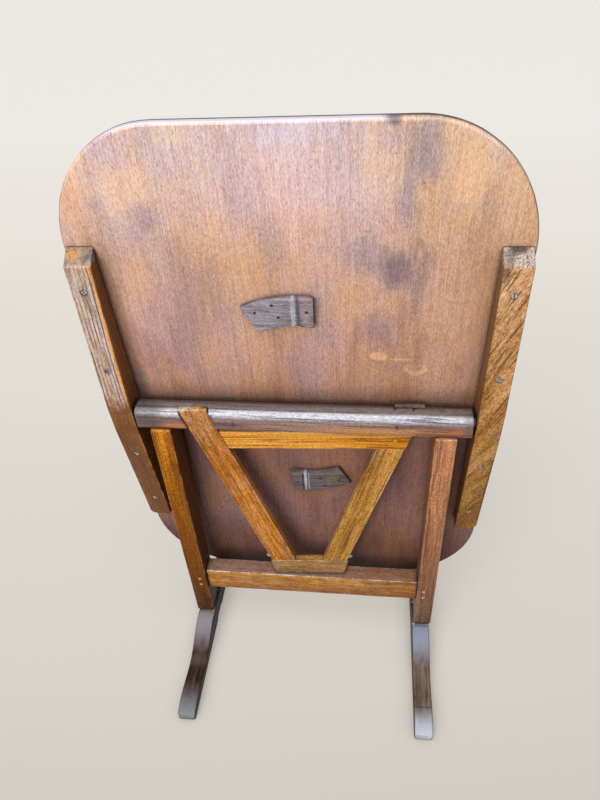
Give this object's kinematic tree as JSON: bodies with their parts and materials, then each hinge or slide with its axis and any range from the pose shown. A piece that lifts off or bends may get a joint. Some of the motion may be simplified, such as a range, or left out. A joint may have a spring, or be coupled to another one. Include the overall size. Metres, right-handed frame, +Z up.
{
  "type": "wine tasting table",
  "caption": "Folding tilt-top wooden tasting table: rounded top on battens that turns on a trestle frame with sled feet, propped level by a V-shaped swinging gate.",
  "frame": {"origin": "on the floor, at the middle of the two feet", "axes": "+Z up; +X to the right along the crossbar; +Y to the back, the way the folded top's show face looks"},
  "size_m": [0.738, 0.55, 1.2045],
  "materials": {
    "varnished_top": "satin varnish, worn",
    "batten_oak": "waxed oak",
    "gate_oak": "waxed oak",
    "frame_oak": "waxed oak",
    "crossbar_oak": "dark waxed oak, polished by wear",
    "dark_foot": "dark polished oak",
    "weathered_catch": "weathered oak",
    "peg_wood": "plain oak",
    "screw_steel": "dull steel",
    "nail_iron": "dark iron"
  },
  "bodies": {
    "base": {"left_foot": "dark_foot", "right_foot": "dark_foot", "left_upright": "frame_oak", "right_upright": "frame_oak", "stretcher": "gate_oak", "crossbar": "crossbar_oak", "left_tilt_pin": "peg_wood", "right_tilt_pin": "peg_wood", "left_stretcher_upper_peg": "peg_wood", "left_stretcher_lower_peg": "peg_wood", "right_stretcher_upper_peg": "peg_wood", "right_stretcher_lower_peg": "peg_wood"},
    "gate": {"gate_left_diagonal": "gate_oak", "gate_right_diagonal": "gate_oak", "gate_top_rail": "gate_oak", "gate_bottom_rail": "gate_oak", "gate_left_peg": "peg_wood", "gate_right_peg": "peg_wood", "gate_left_bolt": "screw_steel", "gate_right_bolt": "screw_steel", "gate_upper_pivot": "nail_iron", "gate_lower_pivot": "nail_iron"},
    "top": {"tabletop": "varnished_top", "left_batten": "batten_oak", "right_batten": "batten_oak", "left_batten_screw_1": "screw_steel", "left_batten_screw_2": "screw_steel", "left_batten_screw_3": "screw_steel", "left_batten_screw_4": "screw_steel", "right_batten_screw_1": "screw_steel", "right_batten_screw_2": "screw_steel", "right_batten_screw_3": "screw_steel", "right_batten_screw_4": "screw_steel", "front_catch": "weathered_catch", "front_catch_nail_1": "nail_iron", "front_catch_nail_2": "nail_iron", "front_catch_nail_3": "nail_iron", "front_catch_nail_4": "nail_iron", "rear_catch": "weathered_catch", "rear_catch_nail_1": "nail_iron", "rear_catch_nail_2": "nail_iron", "rear_catch_nail_3": "nail_iron", "rear_catch_nail_4": "nail_iron"}
  },
  "joints": [
    {"name": "top_tilt", "type": "hinge", "parent": "base", "child": "top", "pos_m": [0, 0, 0.6777], "axis": [1, 0, 0], "range_deg": [-4.5, 86]},
    {"name": "gate_swing", "type": "hinge", "parent": "base", "child": "gate", "pos_m": [0, 0, 0.2034], "axis": [0, 0, 1], "range_deg": [0, 1.5]}
  ]
}
